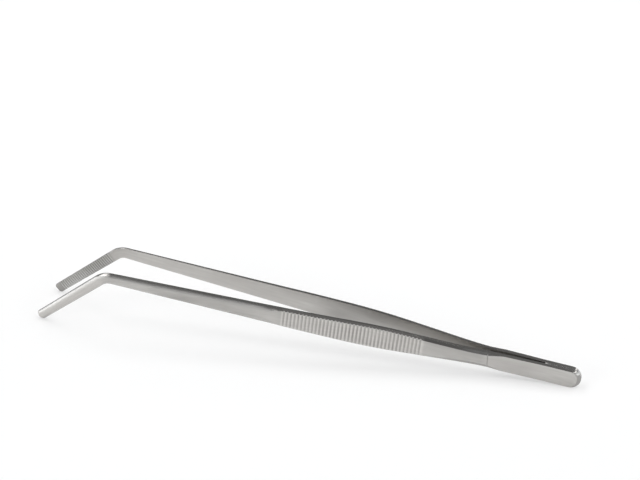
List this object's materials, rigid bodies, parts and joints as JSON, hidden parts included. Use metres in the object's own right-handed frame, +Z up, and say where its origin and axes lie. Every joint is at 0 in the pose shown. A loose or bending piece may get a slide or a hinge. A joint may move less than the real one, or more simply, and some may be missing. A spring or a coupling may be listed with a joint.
{
  "type": "print tongs",
  "caption": "Angled steel print tongs: sprung arms joined at the heel, with ribbed finger grips and bent, serrated jaws that close when squeezed.",
  "frame": {"origin": "on the table, under the middle of the tongs as they lie on edge", "axes": "+X along the tongs from the jaw tips to the heel, +Y across the arms from the front arm to the rear arm, +Z up"},
  "size_m": [0.3, 0.0304, 0.036],
  "materials": {
    "satin_steel": "satin stainless steel, ground along the strip, with polished edges",
    "spacer_steel": "stainless steel shim, ground flush with the arms",
    "weld_steel": "fused steel, hidden inside the heel"
  },
  "bodies": {
    "heel_assembly": {"front_heel": "satin_steel", "rear_heel": "satin_steel", "heel_spacer": "spacer_steel", "spot_welds": "weld_steel", "front_spring_leaf": "satin_steel", "rear_spring_leaf": "satin_steel"},
    "front_side": {"front_arm": "satin_steel"},
    "rear_side": {"rear_arm": "satin_steel"}
  },
  "joints": [
    {"name": "front_squeeze", "type": "hinge", "parent": "heel_assembly", "child": "front_side", "pos_m": [0.11503, -0.00203, 0.00839], "axis": [-0.1097, 0, -0.994], "range_deg": [0, 2.85], "stiffness_Nm_per_rad": 12, "deforming": ["front_spring_leaf"]},
    {"name": "rear_squeeze", "type": "hinge", "parent": "heel_assembly", "child": "rear_side", "pos_m": [0.11503, 0.00203, 0.00839], "axis": [0.1097, 0, 0.994], "range_deg": [0, 2.85], "stiffness_Nm_per_rad": 12, "deforming": ["rear_spring_leaf"]}
  ],
  "couplings": [
    {"joint": "rear_squeeze", "follows": "front_squeeze", "ratio": 1}
  ]
}
